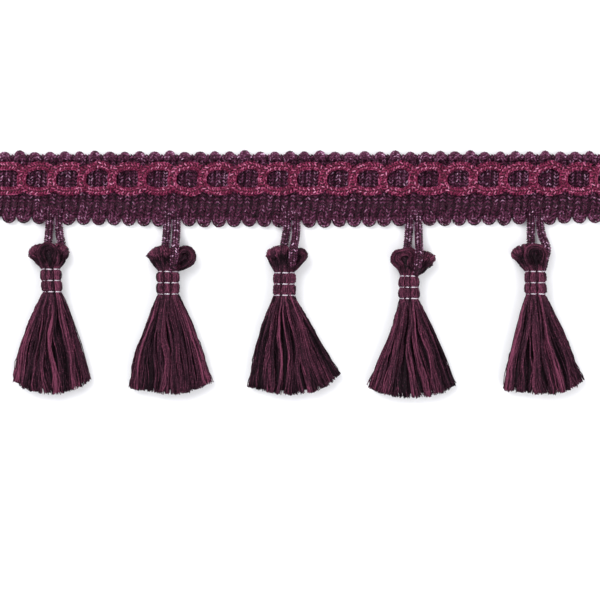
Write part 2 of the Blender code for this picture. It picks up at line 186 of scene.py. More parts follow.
# The petals of each head, left to right: in a fan the yarns fold over an edge to the back, and in an arch
# they run round a hollow. Then the share of the neck where each petal ends, how far out it stands, how
# much painted shade its hollow gets, and its outline from the middle of the top binding.
PETAL_COLUMNS = ("kind", "end", "out", "hollow", "outline")
HEAD_PETALS = (
    (
        ("fan", 0.22, -0.7, 0.0, ((-7.0, 4.8), (-6.9, 6.1), (-5.6, 7.6), (-3.6, 8.4), (-2.4, 8.7))),
        ("arch", 0.75, 0.5, 0.25,
         ((-2.8, 0.8), (-4.3, 4.6), (-3.5, 7.4), (-0.9, 8.7), (1.8, 7.8), (3.0, 5.0), (2.4, 1.0))),
        ("fan", 1.0, -0.7, 0.0, ((1.6, 8.7), (2.8, 8.4), (4.4, 7.7), (5.6, 6.4), (5.2, 4.8))),
    ),
    (
        ("fan", 0.52, 0.2, 0.0, ((-7.2, 5.2), (-5.6, 6.8), (-2.9, 8.3), (-0.2, 8.2), (1.2, 7.2))),
        ("arch", 1.0, 0.3, 0.2,
         ((1.2, 1.0), (1.8, 5.0), (3.2, 7.8), (5.8, 8.3), (8.2, 6.9), (8.9, 4.4), (7.9, 1.9), (4.2, -0.1))),
    ),
    (
        ("fan", 0.6, 0.2, 0.0, ((-5.7, 5.8), (-5.2, 7.4), (-2.9, 8.5), (-0.2, 8.7), (1.6, 8.2))),
        ("arch", 1.0, 0.2, 0.2,
         ((1.3, 1.0), (1.8, 4.6), (3.0, 7.4), (5.4, 8.1), (7.4, 6.6), (7.2, 4.6), (5.2, 2.2), (3.0, 0.3))),
    ),
    (
        ("arch", 0.6, 0.3, -0.1,
         ((-2.8, 0.6), (-5.0, 2.8), (-6.4, 5.2), (-5.2, 8.0),
          (-2.2, 8.7), (1.6, 8.9), (3.0, 6.0), (1.9, 1.0))),
        ("fan", 1.0, -0.4, 0.0, ((1.6, 8.7), (4.6, 8.1), (7.2, 7.3), (8.2, 5.8), (7.0, 3.9))),
    ),
    (
        ("fan", 0.24, -0.5, 0.0, ((-7.4, 5.3), (-7.5, 6.4), (-6.2, 7.7), (-4.0, 8.8), (-2.4, 9.2))),
        ("arch", 1.0, 0.3, 0.25,
         ((-2.6, 0.8), (-4.2, 4.6), (-3.6, 7.6), (-0.6, 9.0),
          (2.4, 8.6), (4.0, 6.4), (3.9, 3.4), (3.0, 0.6))),
    ),
)
# Where the upright grooves part each neck, as shares of its width
NECK_GROOVES = ((0.23, 0.62), (0.29, 0.62), (0.34, 0.73), (0.27, 0.52), (0.22, 0.56))

# Yarns. ramp: sRGB colours from the darkest tone to the lightest. surface: the fibres' number to a
# millimetre, their thickness over their length and how much they change the tone, and the painted glints'
# number to a millimetre and strength.
SURFACE_VALUES = ("Fibre Scale", "Fibre Draw", "Streaks", "Glint Scale", "Painted Glints")
LOOKS = {
    "aubergine chainette": {
        "ramp": ((0.0, (26, 5, 17)), (0.35, (82, 32, 58)), (0.6, (122, 64, 98)), (1.0, (232, 192, 222))),
        "surface": (3.2, 0.08, 0.5, 2.4, 0.38),
        "roughness": 0.4, "gloss": 0.2, "bump": 0.8,
    },
    "burgundy chainette": {
        "ramp": ((0.0, (54, 7, 28)), (0.35, (134, 38, 76)), (0.6, (176, 78, 116)), (1.0, (238, 168, 202))),
        "surface": (3.2, 0.08, 0.5, 2.4, 0.25),
        "roughness": 0.4, "gloss": 0.2, "bump": 0.8,
    },
    "wine floss": {
        "ramp": ((0.0, (20, 8, 15)), (0.3, (50, 27, 39)), (0.6, (80, 41, 58)), (1.0, (134, 68, 94))),
        "surface": (4.0, 0.28, 0.5, 2.5, 0.5),
        "roughness": 0.6, "gloss": 0.1, "bump": 0.3,
    },
    "silver thread": {
        "ramp": ((0.0, (150, 128, 146)), (1.0, (252, 244, 252))),
        "surface": (4.0, 0.08, 0.5, 2.0, 0.4),
        "roughness": 0.3, "gloss": 0.5, "metallic": 0.35, "bump": 0.3,
    },
}


# Shapes


def between(a, b, share):
    return a + (b - a) * share


def smooth(share):
    """An S-curve from 0 to 1."""
    share = np.clip(share, 0.0, 1.0)
    return share * share * (3 - 2 * share)


def unit(vectors):
    return vectors / np.maximum(np.linalg.norm(vectors, axis=-1, keepdims=True), 1e-9)


def smooth_route(points, steps):
    """Points along a Catmull-Rom curve. The points lie along the second last axis."""
    points = np.asarray(points, float)
    first = 2 * points[..., :1, :] - points[..., 1:2, :]
    last = 2 * points[..., -1:, :] - points[..., -2:-1, :]
    ends = np.concatenate([first, points, last], axis=-2)
    a, b, c, d = (ends[..., k : ends.shape[-2] - 3 + k, :] for k in range(4))
    spans = []
    for step in range(steps):
        t = step / steps
        bend = (2 * a - 5 * b + 4 * c - d) * t * t + (3 * b - a - 3 * c + d) * t**3
        spans.append((2 * b + (c - a) * t + bend) / 2)
    route = np.stack(spans, axis=-2)
    route = route.reshape(*points.shape[:-2], -1, points.shape[-1])
    return np.concatenate([route, points[..., -1:, :]], axis=-2)


def at_height(places, z):
    """Flat places, all at this height."""
    return np.column_stack([places, np.full(len(places), z)])


def evenly(route, pitch):
    """The route again with its points this far apart."""
    along = np.concatenate([[0.0], np.cumsum(np.linalg.norm(np.diff(route, axis=0), axis=1))])
    places = np.linspace(0.0, along[-1], max(2, round(along[-1] / pitch) + 1))
    return np.stack([np.interp(places, along, route[:, axis]) for axis in range(route.shape[1])], axis=1)


def frames(route, upward):
    """Unit vectors along, across and out of each point of a route. upward is roughly outward."""
    ahead = unit(np.gradient(route, axis=-2))
    upward = np.broadcast_to(np.asarray(upward, float), route.shape)
    out = unit(upward - ahead * np.sum(upward * ahead, axis=-1, keepdims=True))
    return ahead, np.cross(ahead, out), out


def put_in_scene(name, data):
    made = bpy.data.objects.new(name, data)
    bpy.context.scene.collection.objects.link(made)
    return made


class Shape:
    """Vertices and faces of one piece, with a tone for each vertex and its place in its own strand."""

    def __init__(self):
        self.places, self.faces, self.tones, self.lays = [], [], [], []
        self.count = 0

    def add(self, places, tones, lays, *groups):
        """groups: faces with equally many corners, numbered from the first of these places."""
        self.places.append(places)
        self.faces += [faces + self.count for faces in groups]
        self.tones.append(tones)
        self.lays.append(lays)
        self.count += len(places)

    def tubes(self, routes, wide, tall, sides, tones, upward=UP):
        """Tubes along many routes of equally many points, with elliptical sections and flat ends."""
        _, across, out = frames(routes, upward)
        strands, steps, _ = routes.shape
        angles = 2 * pi * np.arange(sides) / sides
        cosine, sine = np.cos(angles), np.sin(angles)
        wide = np.broadcast_to(wide, (strands, steps))[..., None, None]
        tall = np.broadcast_to(tall, (strands, steps))[..., None, None]
        rim = across[:, :, None] * wide * cosine[:, None] + out[:, :, None] * tall * sine[:, None]
        places = (routes[:, :, None] + rim).reshape(-1, 3)
        step, side = np.meshgrid(np.arange(steps - 1), np.arange(sides), indexing="ij")
        after = (side + 1) % sides
        low, high = step * sides, (step + 1) * sides
        quad = np.stack([low + side, low + after, high + after, high + side], axis=-1).reshape(-1, 4)
        starts = np.arange(strands) * steps * sides
        quads = (starts[:, None, None] + quad).reshape(-1, 4)
        length = np.cumsum(np.linalg.norm(np.gradient(routes, axis=1), axis=2), axis=1)
        offset = np.arange(strands)[:, None, None] * STRANDS_APART
        lays = wide[..., 0] * cosine + offset, length[:, :, None], tall[..., 0] * sine + offset
        lays = np.stack(np.broadcast_arrays(*lays), axis=-1).reshape(-1, 3)
        tones = np.asarray(tones, float).reshape(strands, -1, 1)
        tones = np.broadcast_to(tones, (strands, steps, sides)).reshape(-1)
        first = starts[:, None] + np.arange(sides)[::-1]
        last = starts[:, None] + (steps - 1) * sides + np.arange(sides)
        self.add(places, tones, lays, quads, np.concatenate([first, last]))

    def lobes(self, centres, along, outward, half_sizes, tones):
        """Rice-shaped loops of knitting: two rings of corners and two tips, each with its own direction.
        half_sizes: along, across, outward."""
        sides = 5
        along = unit(along)
        outward = unit(outward - along * np.sum(outward * along, axis=1, keepdims=True))
        across = np.cross(outward, along)
        levels = -np.cos(pi * np.arange(1, 3) / 3)
        angles = 2 * pi * np.arange(sides) / sides
        rim = np.sqrt(1 - levels**2)
        local = levels[:, None], rim[:, None] * np.cos(angles), rim[:, None] * np.sin(angles)
        local = np.stack(np.broadcast_arrays(*local), axis=-1).reshape(-1, 3)
        local = np.concatenate([local, [[-1.0, 0, 0], [1.0, 0, 0]]])
        sized = local[None] * half_sizes[:, None]
        axes = np.stack([along, across, outward], axis=1)
        places = centres[:, None] + np.einsum("nvk,nkc->nvc", sized, axes)
        quads, caps = [], []
        for side in range(sides):
            after = (side + 1) % sides
            quads.append((side, after, sides + after, sides + side))
            caps.append((after, side, 2 * sides))
            caps.append((sides + side, sides + after, 2 * sides + 1))
        starts = np.arange(len(centres))[:, None, None] * len(local)
        lays = sized[..., [1, 0, 2]] + (np.arange(len(centres)) * LOOPS_APART)[:, None, None]
        tones = np.repeat(tones[:, None], len(local), axis=1)
        # Painted shade at each loop's two tips.
        tones[:, -2:] -= TIP_SHADE
        quads = (starts + np.array(quads)).reshape(-1, 4)
        caps = (starts + np.array(caps)).reshape(-1, 3)
        self.add(places.reshape(-1, 3), tones.ravel(), lays.reshape(-1, 3), quads, caps)

    def piece(self, name, material):
        places = np.concatenate(self.places) * MM
        faces = [face for group in self.faces for face in group.tolist()]
        mesh = bpy.data.meshes.new(name)
        mesh.from_pydata(places, [], faces)
        tone = mesh.attributes.new("tone", "FLOAT", "POINT")
        tone.data.foreach_set("value", np.concatenate(self.tones))
        lay = mesh.attributes.new("lay", "FLOAT_VECTOR", "POINT")
        lay.data.foreach_set("vector", np.concatenate(self.lays).ravel())
        mesh.shade_smooth()
        mesh.materials.append(material)
        return put_in_scene(name, mesh)


# Knitted cord


def knit_cord(shape, route, rng, half_wide, half_tall, arms, pitch, lobe, tone, lit, core=True, stitch=None):
    """Rows of slanted loops round a core, dark as painted shade between them. arms: degrees round the cord,
    from
    its right side over the top, and lobe: each loop's half length, half width and half height. tone: of the
    plain loops, and of the bright ones between them, which are painted glints. lit: the chance that every
    second loop gets a painted glint, and that the others do. stitch gives each place's slant in degrees, how
    far the cord swells, and how its tone changes, painted light and shade included."""
    centres = evenly(route, pitch)
    count = len(centres)
    # Dark core: painted shade seen between the loops.
    if core:
        shape.tubes(evenly(route, 1.4)[None], 0.8 * half_wide, 0.75 * half_tall, 8, [0.0])
    ahead, across, out = frames(centres, UP)
    turn = np.gradient(ahead, axis=0)
    turning = np.linalg.norm(turn, axis=1)
    slant, swell, shade = stitch(centres) if stitch else (PLAIN_SLANT, np.ones(count), 0.0)
    plain_tone, glint_tone = tone
    for number, arm in enumerate(arms):
        lean = 1 if number % 2 else -1
        angle = radians(arm)
        round_cord = across * (-sin(angle)) + out * cos(angle)
        outward = across * cos(angle) / half_wide + out * sin(angle) / half_tall
        middle = across * cos(angle) * half_wide + out * sin(angle) * half_tall
        tilt = np.radians(slant + rng.normal(0, SLANT_SPREAD, count))
        tilt = (tilt * np.clip(1.3 - turning, 0.4, 1))[:, None]  # less in tight turns
        along = ahead * np.cos(tilt) + lean * unit(round_cord) * np.sin(tilt)
        shift = ahead * rng.normal(0, PLACE_SPREAD, count)[:, None]
        sizes = np.array(lobe) * (1 + rng.normal(0, SIZE_SPREAD, (count, 3)))
        sizes[:, 0] *= np.clip(1 - np.sum(turn * middle, axis=1) / pitch, 0.5, 1.6)
        in_turn = (np.arange(count) + number // 2) % 2 == 0
        # Painted glints: some loops get the bright tone, as if they caught the light.
        glinting = rng.uniform(0, 1, count) < np.where(in_turn, *lit)
        tones = np.where(glinting, glint_tone, plain_tone) + rng.normal(0, TONE_SPREAD, count) + shade
        # Painted shade on the loops at the cord's sides.
        tones -= SIDE_SHADE * (1 - abs(sin(angle)))
        shape.lobes(centres + middle * swell[:, None] + shift, along, outward, sizes, tones)


# Heading


def foot_bow(x):
    return -EDGE_BOW * np.cos(pi * x / LENGTH)


def column_foot(x, scallop):
    """How low the cord comes here: less over a hanger."""
    tuck = HANGER_TUCK if (scallop - FIRST_HANGER_SCALLOP) % HANGER_EVERY == 0 else 0.0
    return COLUMN_FOOT_Y + foot_bow(x) + tuck


def column_point(column, share):
    """A point on a column's middle, at this share of the way from its foot to its top."""
    foot_x = SCALLOP_SHIFT + (column + 0.5) * STITCH / 2
    y = between(column_foot(foot_x, column // 2), COLUMN_TOP_Y, share)
    lean = COLUMN_LEANS[0] * smooth((y - COLUMN_FOOT_Y) / (SEAM_Y - COLUMN_FOOT_Y))
    lean += COLUMN_LEANS[1] * smooth((y - SEAM_Y) / (COLUMN_TOP_Y - SEAM_Y))
    inward = PAIR_SHIFT if column % 2 == 0 else -PAIR_SHIFT
    return foot_x + lean + inward * smooth((SEAM_Y - y) / 1.5), y


def seam_drop(y):
    return SEAM_DEEP * np.exp(-(((y - SEAM_Y) / SEAM_WIDE) ** 2))


def weft_route():
    """One cord, up and down the whole heading, with a turn at each edge."""
    points = []
    shares = np.linspace(0, 1, 24)
    tall = TURN_TALL
    for column in range(FIRST_COLUMN, LAST_COLUMN + 1):
        points += [column_point(column, share) for share in shares]
        if column < LAST_COLUMN:
            here, after = column_point(column, shares[-1]), column_point(column + 1, shares[-1])
            for turn in (0.25, 0.5, 0.75):
                x = between(here[0], after[0], 0.5 - 0.5 * cos(pi * turn))
                y = between(here[1], after[1], turn) + tall * sin(pi * turn)
                points.append((x, y))
        shares, tall = shares[::-1], -tall
    points = np.array(points)
    z = np.maximum(COLUMN_Z - seam_drop(points[:, 1]), COLUMN_LEAST_Z)
    return np.column_stack([points, z])


def make_base(material):
    """The ground between the columns, dark as painted shade in the gaps: one thin sheet, which ends a little
    inside the cord's turns.
    """
    count, tall = 80, 12  # points along it and across it
    xs = np.linspace(-LENGTH / 2 + 1.2, LENGTH / 2 - 1.5, count)
    low = np.column_stack([xs, COLUMN_FOOT_Y + foot_bow(xs) - 0.1])
    high = np.column_stack([xs, np.full(count, COLUMN_TOP_Y - 0.2)])
    grid = np.stack([between(low, high, share) for share in np.linspace(0, 1, tall)])
    drop = seam_drop(grid[..., 1]) * 0.4
    top = np.dstack([grid, COLUMN_Z - 0.15 - drop])
    bottom = np.dstack([grid, np.full(drop.shape, COLUMN_Z - 0.7)])
    places = np.concatenate([top.reshape(-1, 3), bottom.reshape(-1, 3)])
    faces = []
    size = tall * count
    for row in range(tall - 1):
        for step in range(count - 1):
            corners = row * count + step + np.array((0, 1, count + 1, count))
            faces += [corners, size + corners[::-1]]
    edge = [*range(count - 1), *range(count - 1, size, count)]
    edge += [*range(size - 2, size - count - 1, -1), *range(size - 2 * count, 0, -count)]
    for a, b in zip(edge, edge[1:] + edge[:1]):
        faces.append((b, a, size + a, size + b))
    shape = Shape()
    # Low tone: painted shade seen between the columns.
    shape.add(places, np.full(len(places), 0.1), places, np.array(faces))
    return shape.piece("heading_base", material)


def heading_stitch(points):
    """Wider V stitches in the row above the seam, knots all the way, a pinch at the seam darkened as painted
    shade, painted light over the middle, which the face cords shade, and slightly fatter, slightly darker
    columns below the seam."""
    y = points[:, 1]
    slant = 34 + 16 * np.exp(-(((y - SEAM_Y - 1.5) / 1.1) ** 2))
    knots = 1 + 0.07 * np.sin(2 * pi * (y + 0.35 * points[:, 0]) / KNOT_PITCH)
    seam = np.exp(-(((y - SEAM_Y) / 0.55) ** 2))
    middle = smooth(y + 0.3) * smooth(6.2 - y)
    below = smooth(SEAM_Y - y)
    swell = knots - 0.22 * seam + 0.08 * middle + 0.05 * below
    # Tone change: painted light over the middle, painted shade in the seam, and a little darker below the
    # seam.
    return slant, swell, 0.08 * middle - 0.13 * seam - 0.03 * below


def make_weft(material):
    rng = np.random.default_rng(RANDOM_START)
    route = weft_route()
    face, back = Shape(), Shape()
    tone, lit, pitch = (0.29, 0.48), (0.5, 0.4), 1.05
    middles, lobe = (62, 118), (0.78, 0.23, 0.34)
    knit_cord(face, route, rng, 0.8, 0.84, middles, pitch, lobe, tone, lit, stitch=heading_stitch)
    # The side loops get lower tones: painted shade at the columns' sides.
    sides, lobe, tone = (16, 164), (0.66, 0.26, 0.32), (0.15, 0.37)
    knit_cord(face, route, rng, 0.84, 0.7, sides, pitch, lobe, tone, lit, core=False, stitch=heading_stitch)
    flat_route = at_height(route[:, :2], COLUMN_Z)
    knit_cord(back, flat_route, rng, 0.9, 0.72, (238, 302), 1.5, (0.98, 0.42, 0.3), tone, lit)
    return face.piece("heading_face", material), back.piece("heading_back", material)


def turn_stitch(points):
    """Flatter stitches, which leave the scallops' edge smooth."""
    return 22.0, np.ones(len(points)), -0.02


def scallop(shape, rng, middle, edge_y):
    """The knitted cord's turn from one column of a scallop to the other."""
    turn = np.linspace(0, 1, 17)
    x = middle - SCALLOP_HALF * np.cos(pi * turn) + rng.normal(0, 0.12) * np.sin(pi * turn)
    y = edge_y - SCALLOP_TALL * rng.uniform(0.85, 1.2) * np.sin(pi * turn)
    legs = ((middle - SCALLOP_HALF - 0.08, edge_y + 0.5), (middle + SCALLOP_HALF + 0.12, edge_y + 0.5))
    route = at_height([legs[0], *zip(x, y), legs[1]], COLUMN_Z + 0.04)
    arms, lobe, tone, lit = (16, 62, 118, 164), (0.46, 0.26, 0.3), (0.22, 0.46), (0.5, 0.3)
    knit_cord(shape, route, rng, 0.92, 0.8, arms, 0.56, lobe, tone, lit, stitch=turn_stitch)


def picot(shape, rng, middle, half, tall):
    """A loop of cord at the heading's upper edge, wrapped round with its own plies."""
    turn = np.linspace(-0.12, 1.12, 11)
    x = middle - half * np.cos(pi * turn)
    y = PICOT_Y + tall * np.sin(pi * turn)
    arc = at_height(np.column_stack([x, y]), COLUMN_Z + 0.05)
    # Dark core: painted shade between the plies.
    shape.tubes(arc[None], 0.85 * PICOT_R, 0.85 * PICOT_R, 8, [0.0])
    _, across, out = frames(arc, UP)
    plies = 5
    start = rng.uniform(0, 6.3)
    for ply in range(plies):
        twist = 2.2 * pi * turn + 2 * pi * ply / plies + start
        swing = across * np.cos(twist)[:, None] + out * np.sin(twist)[:, None]
        route = arc + (PICOT_R - 0.25) * swing
        shape.tubes(route[None], 0.31, 0.31, 5, [0.3 + rng.normal(0, 0.1)])


def make_edges(material):
    rng = np.random.default_rng(RANDOM_START + 5)
    picots, scallops = Shape(), Shape()
    row = at_height([(-LENGTH / 2 + 1.6, PICOT_ROW_Y), (LENGTH / 2 - 1.8, PICOT_ROW_Y)], COLUMN_Z)
    knit_cord(picots, row, rng, 0.72, 0.66, (30, 90, 150), 0.95, (0.6, 0.3, 0.3), (0.25, 0.5), (0.4, 0.2))
    for number in SCALLOP_NUMBERS:
        middle = PICOT_SHIFT + (number + 0.5) * STITCH
        tall = PICOT_TALLS[number % len(PICOT_TALLS)] + rng.normal(0, 0.06)
        if abs(middle) < LENGTH / 2 - END_GAP:
            half = PICOT_HALF * rng.uniform(0.82, 1.15)
            picot(picots, rng, middle + rng.normal(0, 0.08), half, tall)
        middle = SCALLOP_SHIFT + (number + 0.5) * STITCH
        if abs(middle) < LENGTH / 2 - END_GAP:
            scallop(scallops, rng, middle, column_foot(middle, number))
    return picots.piece("heading_picots", material), scallops.piece("heading_scallops", material)


# Cords on the face


def face_cord_route(first):
    """first: 0 for the cord that falls at the even crossings, and 1 for the other."""
    end = LENGTH / 2 - FACE_CORD_END
    end_z = FACE_CORD_Z - FACE_CORD_END_DROP
    points = [(-end, RING_FOOT_Y if CROSSINGS[0] % 2 != first else RING_TOP_Y, end_z)]
    for number in CROSSINGS:
        x = RING_SHIFT + number * RING_PITCH
        falling = number % 2 == first
        rise = RING_RISES[(number - 1) % len(RING_RISES)]
        sag = RING_SAGS[number % len(RING_SAGS)]
        y = RING_TOP_Y + rise if falling else RING_FOOT_Y - sag
        points.append((x - 0.45 * RING_PITCH, y, FACE_CORD_Z))
        for step, y, lift in FALLING_ROWS if falling else RISING_ROWS:
            if x + step < end - 1.0:  # so that the cord doesn't fold back at its end
                points.append((x + step, y, FACE_CORD_Z + FACE_CORD_LIFT * lift))
    points.append((end, RING_FOOT_Y if falling else RING_TOP_Y, end_z))
    return smooth_route(points, 6)


def make_face_cord(number, rng, material):
    shape = Shape()
    arms, lobe, tone, lit = (17, 62, 118, 163), (0.72, 0.24, 0.27), (0.3, 0.62), (0.6, 0.15)
    knit_cord(shape, face_cord_route(number - 1), rng, 1.1, 0.54, arms, 0.86, lobe, tone, lit)
    piece = shape.piece(f"face_cord_{number}", material)
    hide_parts(f"scroll_cord_{number}")
    return piece


# Hangers


def hanger_route(row):
    """Down the left leg, round inside the head, and up the right leg, which may pass in front of it."""
    top = COLUMN_FOOT_Y + foot_bow(row.edge_x) + HANGER_TUCK - 0.3
    edge = COLUMN_FOOT_Y - 2.3 + foot_bow(row.edge_x)
    neck_x, neck_y, foot_x, foot_z = row.neck_x, row.neck_y, row.foot_x, row.foot_z
    head_top = neck_y + HEAD_TALL
    left_x, right_x = row.edge_x - LEG_SPREAD, row.edge_x + LEG_SPREAD
    keys = (
        (left_x, top, HANGER_Z),
        (left_x, edge, HANGER_Z),
        (between(left_x, neck_x - 1.4, 0.4), head_top, 2.2),
        (between(left_x, neck_x - 1.4, 0.8), neck_y + 4.5, 2.6),
        (between(neck_x, foot_x, 0.4), neck_y + 0.2, between(2.6, foot_z, 0.2)),
        (foot_x, neck_y + 0.9, foot_z),
        (between(foot_x, row.leg_x, 0.6), neck_y + 4.0, between(foot_z, row.leg_z, 0.75)),
        (row.leg_x, neck_y + 7.4, row.leg_z),
        (between(row.leg_x, right_x, 0.7), between(head_top, edge, 0.4), (row.leg_z + HANGER_Z) / 2),
        (right_x, edge, HANGER_Z),
        (right_x, top, HANGER_Z),
    )
    return smooth_route(keys, 8)


def make_hanger(number, row, rng, material):
    def hanger_stitch(points):
        """Plain stitches, which tighten near the neck and carry painted shade there, and darken under the
        heading.
        """
        near = smooth((row.neck_y + 6.0 - points[:, 1]) / 5.0)
        under = smooth((points[:, 1] - COLUMN_FOOT_Y - foot_bow(row.edge_x) + 1.5) / 2.5)
        # Tone change: painted shade where the cord goes into the neck, and darker where it comes out under
        # the heading.
        return PLAIN_SLANT, 1 - 0.22 * near, -0.3 * near - 0.16 * under

    shape = Shape()
    route, half, arms = hanger_route(row), HANGER_HALF, range(22, 360, 45)
    lobe, tone, lit = (0.46, 0.21, 0.27), (0.36, 0.72), (0.5, 0.1)
    knit_cord(shape, route, rng, half, half, arms, 0.7, lobe, tone, lit, stitch=hanger_stitch)
    piece = shape.piece(f"hanger_cord_{number}", material)
    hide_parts(f"hanger_{number}")
    return piece


# Tassels


def tassel_rows():
    """Everything above that is set down for each tassel."""
    rows = []
    for place, petals, grooves in zip(TASSEL_ROWS, HEAD_PETALS, NECK_GROOVES):
        row = SimpleNamespace(**dict(zip(TASSEL_COLUMNS, place)), petals=[], grooves=(0.0, *grooves, 1.0))
        start = 0.0
        for petal in petals:
            petal = SimpleNamespace(**dict(zip(PETAL_COLUMNS, petal)), start=start)
            petal.outline = evenly(smooth_route(petal.outline, 6), 0.3)
            petal.middle = petal.outline.mean(axis=0)
            start = petal.end
            row.petals.append(petal)
        rows.append(row)
    return rows


def hem_point(row, share):
    corner = between(row.hem_left_y, row.hem_right_y, share)
    y = corner + (row.hem_y - corner) * np.sin(pi * share) ** 0.7
    return between(row.hem_left, row.hem_right, share), y


def along_outline(outline, share):
    """The place at this share of the way along a run of evenly spaced points."""
    keys = np.linspace(0, 1, len(outline))
    return np.array([np.interp(share, keys, outline[:, axis]) for axis in range(2)])


def bundle_at(row, share):
    """Where the bundle at this share of the neck's width begins and ends."""
    return next((low, high) for low, high in zip(row.grooves, row.grooves[1:]) if share <= high)


def neck_bulge(row, share):
    """How proud a yarn stands here: most in mid-bundle, least in a groove."""
    low, high = bundle_at(row, share)
    return 1 - (2 * (share - low) / (high - low) - 1) ** 2


def gathered(row, share):
    """The share moved towards the middle of its bundle, clear of the grooves."""
    low, high = bundle_at(row, share)
    middle = (low + high) / 2
    return middle + (share - middle) * 0.84


def random_field(rows, rng):
    """Sines across and down a skirt. rows: the amount, and the ranges of its cycles and radians."""
    return [
        (amount, 2 * pi * rng.uniform(*cycles), rng.uniform(*turns), rng.uniform(0, 6.3))
        for amount, cycles, turns in rows
    ]


def field_value(field, across, part):
    return sum(
        amount * sin(cycles * across + turns * part + phase) for amount, cycles, turns, phase in field
    )


def skirt_point(row, yarn, part, side):
    """Where a yarn is at this part of the way from the neck to the hem. side: 1 in front, -1 behind."""
    across = yarn.across
    skirt_y = row.neck_y - NECK_TALL
    start = row.neck_x + row.lean + (row.neck_half - YARN_INSET) * NECK_WAIST * (2 * across - 1)
    belly = between(row.belly_left, row.belly_right, across)
    x = between(start, yarn.hem_x, part + belly * part * (1 - part))
    x += yarn.calm * smooth(2.0 * part) * field_value(row.sways, across, part)
    half = between(between(NECK_THICK * NECK_WAIST, SKIRT_THICK, smooth(part * 5)), HEM_THICK, part) / 2
    centre = between(NECK_Z, half, smooth(part * 3))
    round_off = sqrt(max(0.05, 1 - (2 * across - 1) ** 2))
    reach = (half - 0.45) * round_off * (1 - 0.4 * yarn.depth)
    lift = 0.7 * field_value(row.locks, across, part) + yarn.lift
    z = max(0.3, centre + side * (reach + lift * smooth(3 * part) * round_off))
    return (x, between(skirt_y, yarn.hem_y, part), z)


def neck_point(row, yarn, down, side):
    """Where a yarn is this far below the top binding."""
    size = between(NECK_WAIST, 1.0, abs(sin(pi * down / BINDING_PITCH)) ** 0.5)
    spread = 2 * gathered(row, yarn.across) - 1
    x = row.neck_x + row.lean * down / NECK_TALL
    round_off = sqrt(max(0.1, 1 - (0.92 * spread) ** 2))
    proud = 0.75 * neck_bulge(row, yarn.across) - 0.2 * yarn.depth
    z = NECK_Z + side * (NECK_THICK / 2 * size - 0.95 + proud) * round_off
    return (x + (row.neck_half - YARN_INSET) * size * spread, row.neck_y - down, z)


def head_points(row, yarn, rng):
    """Eight places over the head, from the front of the neck to its back, the filaments' sideways direction
    there, and how far they splay and how the yarn's tone changes at each: painted highlight on rims,
    painted shade in hollows and on the inner yarns."""
    across, depth = yarn.across, yarn.depth
    neck = np.array((row.neck_x, row.neck_y, 0.0))
    petal = next(petal for petal in row.petals if across <= petal.end)
    share = (across - petal.start) / (petal.end - petal.start)
    outline = petal.outline
    if petal.kind == "fan":
        share = between(0.08, 0.92, share)
        tip = along_outline(outline, share) * (1 - 0.14 * depth * rng.uniform(0.6, 1.6))
        tip -= unit(tip) * 0.5
        foot = np.array(((row.neck_half - YARN_INSET) * NECK_WAIST * (2 * across - 1), 0.0))
        plump = 2.1 * rng.uniform(0.93, 1.0) * between(0.55, 1.0, sin(pi * share) ** 0.7)
        z = 3.1 + petal.out
        places = [(*between(foot, tip, far), z + plump * height) for far, height, _ in FAN_KEYS]
        rim = along_outline(outline, share + 0.1) - along_outline(outline, share - 0.1)
        normal = (*unit(rim), 0.0)
        splay = [key[2] for key in FAN_KEYS]
        # Painted shade deep in the fan and on the inner yarns, painted highlight on its rim.
        shades = [between(-0.22, 0.26, smooth((far - 0.6) / 0.3)) - 0.15 * depth for far, _, _ in FAN_KEYS]
    else:
        inward = 1 - abs(2 * share - 1)
        size = 1 - 0.68 * max(inward, 0.55 * depth)
        middle = petal.middle
        leftward = share < 0.5
        tall = (1 if leftward else -1) * (1.7 - 0.7 * inward - 0.6 * depth)
        places = []
        for place in ARCH_SHARES:
            edge = along_outline(outline, place if leftward else 1 - place)
            edge = edge - unit(edge - middle) * 0.5
            height = sin(pi * min(0.9, max(0.15, place))) ** 0.5
            places.append((*(middle + (edge - middle) * size), 3.3 + petal.out + tall * height))
        normal = (0.0, 0.0, 1.0)
        splay = (1.0,) * 8
        # Painted shade in the arch's hollow and on the inner yarns, painted highlight over its top.
        hollow_shade = petal.hollow * inward + 0.1 * depth
        shades = [0.18 * sin(pi * place) - hollow_shade for place in ARCH_SHARES]
    wobble = rng.normal(0, 0.08, (8, 3))
    return [tuple(neck + place + shake) for place, shake in zip(places, wobble)], normal, splay, shades


def yarn_keys(row, yarn, rng):
    """Keys of one yarn: from the hem up the front of the skirt and neck, over the head and down the back.
    Each key has a place, the filaments' sideways direction, their splay and their shade: a change of tone
    that is mostly painted light and shade."""
    plain = (1.0, 0.0, 0.0)
    # Neck yarns a little paler, with painted shade in the grooves between the bundles.
    groove = 0.17 - 0.45 * (1 - neck_bulge(row, yarn.across)) ** 2
    keys = []
    for part in SKIRT_PARTS:
        # Painted light on the locks that stand out and on raised yarns, painted shade on sunk ones.
        shade = 0.36 * field_value(row.locks, yarn.across, part) + 0.1 * yarn.lift
        splay = yarn.full + 0.4 * part**4
        keys.append((*skirt_point(row, yarn, part, 1), *plain, splay, shade * smooth(4 * part)))
    keys += [(*neck_point(row, yarn, down * BINDING_PITCH, 1), *plain, 1.0, groove) for down in NECK_KEYS]
    places, normal, splays, shades = head_points(row, yarn, rng)
    keys += [(*place, *normal, splay, shade) for place, splay, shade in zip(places, splays, shades)]
    for down in range(BINDINGS):
        keys.append((*neck_point(row, yarn, down * BINDING_PITCH, -1), *plain, 1.0, 0.0))
    keys += [(*skirt_point(row, yarn, part, -1), *plain, 1.0, 0.0) for part in BACK_PARTS]
    return keys


